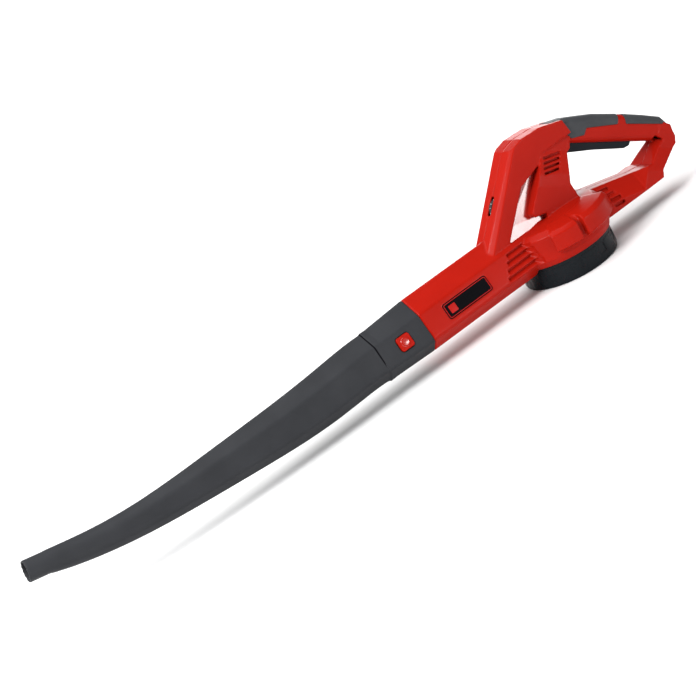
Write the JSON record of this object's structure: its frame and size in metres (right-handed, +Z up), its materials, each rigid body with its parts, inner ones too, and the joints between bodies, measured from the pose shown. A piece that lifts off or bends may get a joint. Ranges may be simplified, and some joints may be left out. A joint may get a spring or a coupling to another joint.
{
  "type": "leaf blower",
  "caption": "Cordless leaf blower with a loop handle, a round air intake under the fan housing and a long curved push-on blow tube.",
  "frame": {"origin": "Centre of the intake ring's flat underside, on the fan's axis.", "axes": "+Z up along the fan's axis, -X towards the tube's outlet, -Y the tool's left side."},
  "size_m": [0.9115, 0.144, 0.1634],
  "materials": {
    "red_shell": "glossy moulded red plastic",
    "black_tube": "satin moulded black plastic",
    "ring_black": "satin moulded black plastic",
    "soft_grip": "soft overmoulded grip with a fine grain",
    "plate_black": "smooth black plate",
    "trigger_grey": "satin dark grey plastic",
    "dial_black": "fine-toothed black plastic",
    "black_plastic": "plain moulded plastic",
    "fan_plastic": "moulded fan plastic",
    "steel": "plain zinc-plated steel",
    "spring_steel": "drawn spring wire",
    "motor_steel": "drawn zinc-plated steel can",
    "lamination": "stacked steel laminations",
    "ferrite": "sintered dark ferrite",
    "carbon": "pressed carbon",
    "copper": "enamelled copper wire",
    "contact_brass": "bright copper alloy",
    "board_green": "solder-masked circuit board",
    "component_black": "moulded electronic parts",
    "wire_red": "soft wire insulation",
    "wire_black": "soft wire insulation",
    "wire_white": "soft wire insulation",
    "wire_blue": "soft wire insulation"
  },
  "bodies": {
    "housing": {"housing_left": "red_shell", "housing_right": "red_shell", "blow_tube": "black_tube", "latch_spring": "spring_steel", "name_plate": "plate_black", "grip_pad_front": "soft_grip", "grip_pad_rear": "soft_grip", "trigger_pin": "steel", "trigger_spring": "spring_steel", "switch_module": "black_plastic", "speed_sensor": "black_plastic", "motor_can": "motor_steel", "motor_magnets": "ferrite", "motor_end_cap": "black_plastic", "carbon_brushes": "carbon", "lower_bearing": "steel", "upper_bearing": "steel", "motor_screws": "steel", "motor_plate": "black_plastic", "inlet_cone": "black_plastic", "intake_ring": "ring_black", "intake_grille": "ring_black", "guard_screws": "steel", "battery_rails": "black_plastic", "terminal_block": "black_plastic", "contact_blades": "contact_brass", "control_board": "board_green", "board_components": "component_black", "board_spacers": "black_plastic", "motor_lead_red": "wire_red", "motor_lead_black": "wire_black", "switch_lead_white": "wire_white", "switch_lead_blue": "wire_blue", "battery_lead_red": "wire_red", "battery_lead_black": "wire_black", "housing_screws": "steel"},
    "rotor": {"rotor_shaft": "steel", "armature_core": "lamination", "armature_windings": "copper", "commutator": "contact_brass", "impeller": "fan_plastic", "impeller_nut": "steel"},
    "trigger": {"trigger": "trigger_grey"},
    "latch_button": {"latch_button": "red_shell"},
    "speed_dial": {"speed_dial": "dial_black"}
  },
  "joints": [
    {"name": "trigger_pull", "type": "hinge", "parent": "housing", "child": "trigger", "pos_m": [0.133, 0, 0.0915], "axis": [0, 1, 0], "range_deg": [0, 7], "stiffness_Nm_per_rad": 0.5, "springref_deg": -8.59},
    {"name": "latch_press", "type": "slide", "parent": "housing", "child": "latch_button", "axis": [0, 0.9613, -0.2756], "range_m": [0, 0.0035], "stiffness_N_per_m": 1200, "springref_m": -0.002},
    {"name": "speed_dial_turn", "type": "hinge", "parent": "housing", "child": "speed_dial", "pos_m": [-0.0495, 0, 0.1045], "axis": [0, 1, 0], "range_deg": [-135, 135]},
    {"name": "fan_spin", "type": "hinge", "parent": "housing", "child": "rotor", "pos_m": [0, 0, 0.045], "axis": [0, 0, 1], "continuous": true}
  ]
}
